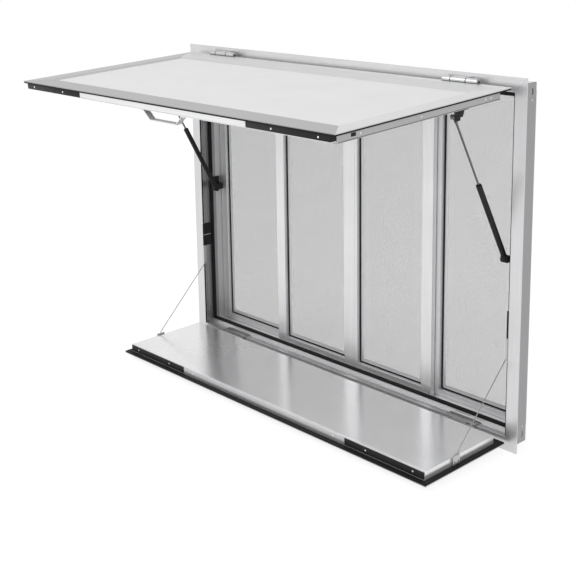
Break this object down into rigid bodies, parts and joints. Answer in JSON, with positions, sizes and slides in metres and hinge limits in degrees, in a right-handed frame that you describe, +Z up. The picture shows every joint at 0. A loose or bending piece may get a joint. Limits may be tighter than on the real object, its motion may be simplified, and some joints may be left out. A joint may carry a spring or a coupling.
{
  "type": "concession window",
  "caption": "Food trailer serving window in a flanged metal casing, with sliding screened sashes, a gas-strut awning hatch above and a cable-held fold-down shelf below",
  "frame": {"origin": "middle of the flange's bottom band, on the flange's back face, which lies on the wall", "axes": "+Y into the wall, +Z up, +X to the right seen from outside"},
  "size_m": [1.25, 0.6803, 0.924],
  "materials": {
    "satin_aluminium": "satin anodised extrusion",
    "pale_panel": "pale grey sheet, fine satin",
    "brushed_sheet": "brushed along the width",
    "black_rubber": "matt black seal",
    "black_plastic": "black, low sheen",
    "bright_steel": "bright zinc plated or stainless",
    "screen_mesh": "grey insect screen"
  },
  "bodies": {
    "frame": {"awning_hinge_left": "bright_steel", "awning_hinge_right": "bright_steel", "cable_eye_left": "bright_steel", "cable_eye_right": "bright_steel", "cable_left": "bright_steel", "cable_right": "bright_steel", "casing_head": "satin_aluminium", "casing_jamb_left": "satin_aluminium", "casing_jamb_right": "satin_aluminium", "casing_sill": "satin_aluminium", "door_seal": "black_rubber", "latch_block_left": "black_plastic", "latch_block_right": "black_plastic", "sash_1": "satin_aluminium", "sash_2": "satin_aluminium", "sash_3": "satin_aluminium", "sash_4": "satin_aluminium", "screen_1": "screen_mesh", "screen_2": "screen_mesh", "screen_3": "screen_mesh", "screen_4": "screen_mesh", "shelf_hinge_left": "bright_steel", "shelf_hinge_right": "bright_steel", "strut_bracket_left": "black_plastic", "strut_bracket_right": "black_plastic", "track_frame": "satin_aluminium", "track_head": "satin_aluminium", "track_sill": "satin_aluminium"},
    "awning": {"awning_bracket_left": "black_plastic", "awning_bracket_right": "black_plastic", "awning_frame": "satin_aluminium", "awning_handle": "satin_aluminium", "awning_hinge_leaf_left": "bright_steel", "awning_hinge_leaf_right": "bright_steel", "awning_panel": "pale_panel", "awning_rail_back": "satin_aluminium", "awning_rail_front": "satin_aluminium", "awning_rail_left": "satin_aluminium", "awning_rail_right": "satin_aluminium", "awning_seal": "black_rubber", "awning_strip_left": "black_plastic", "awning_strip_middle": "satin_aluminium", "awning_strip_right": "black_plastic"},
    "shelf": {"shelf_clip_left": "bright_steel", "shelf_clip_right": "bright_steel", "shelf_core": "satin_aluminium", "shelf_hinge_leaf_left": "bright_steel", "shelf_hinge_leaf_right": "bright_steel", "shelf_seal": "black_rubber", "shelf_skin": "pale_panel", "shelf_strip_left": "black_plastic", "shelf_strip_middle": "satin_aluminium", "shelf_strip_right": "black_plastic", "shelf_top": "brushed_sheet"},
    "strut_left_tube": {"strut_left_cylinder": "black_plastic"},
    "strut_left_piston": {"strut_left_rod": "bright_steel"},
    "strut_right_tube": {"strut_right_cylinder": "black_plastic"},
    "strut_right_piston": {"strut_right_rod": "bright_steel"}
  },
  "joints": [
    {"name": "awning_hinge", "type": "hinge", "parent": "frame", "child": "awning", "pos_m": [0, -0.0195, 0.899], "axis": [1, 0, 0], "range_deg": [0, 86.6]},
    {"name": "shelf_hinge", "type": "hinge", "parent": "frame", "child": "shelf", "pos_m": [0, -0.0095, 0.02], "axis": [-1, 0, 0], "range_deg": [0, 90.9], "deforming": ["cable_left", "cable_right"]},
    {"name": "strut_left_foot", "type": "hinge", "parent": "frame", "child": "strut_left_tube", "pos_m": [0, 0.0255, 0.471], "axis": [1, 0, 0], "range_deg": [-29.5, 0]},
    {"name": "strut_left_slide", "type": "slide", "parent": "strut_left_tube", "child": "strut_left_piston", "axis": [0, -0.4793, 0.8777], "range_m": [-0.1545, 0]},
    {"name": "strut_right_foot", "type": "hinge", "parent": "frame", "child": "strut_right_tube", "pos_m": [0, 0.0255, 0.471], "axis": [1, 0, 0], "range_deg": [-29.5, 0]},
    {"name": "strut_right_slide", "type": "slide", "parent": "strut_right_tube", "child": "strut_right_piston", "axis": [0, -0.4793, 0.8777], "range_m": [-0.1545, 0]}
  ],
  "couplings": [
    {"joint": "strut_left_foot", "follows": "awning_hinge", "ratio": -0.33958},
    {"joint": "strut_left_slide", "follows": "awning_hinge", "m_per_rad": -0.10171},
    {"joint": "strut_right_foot", "follows": "awning_hinge", "ratio": -0.33958},
    {"joint": "strut_right_slide", "follows": "awning_hinge", "m_per_rad": -0.10171}
  ]
}
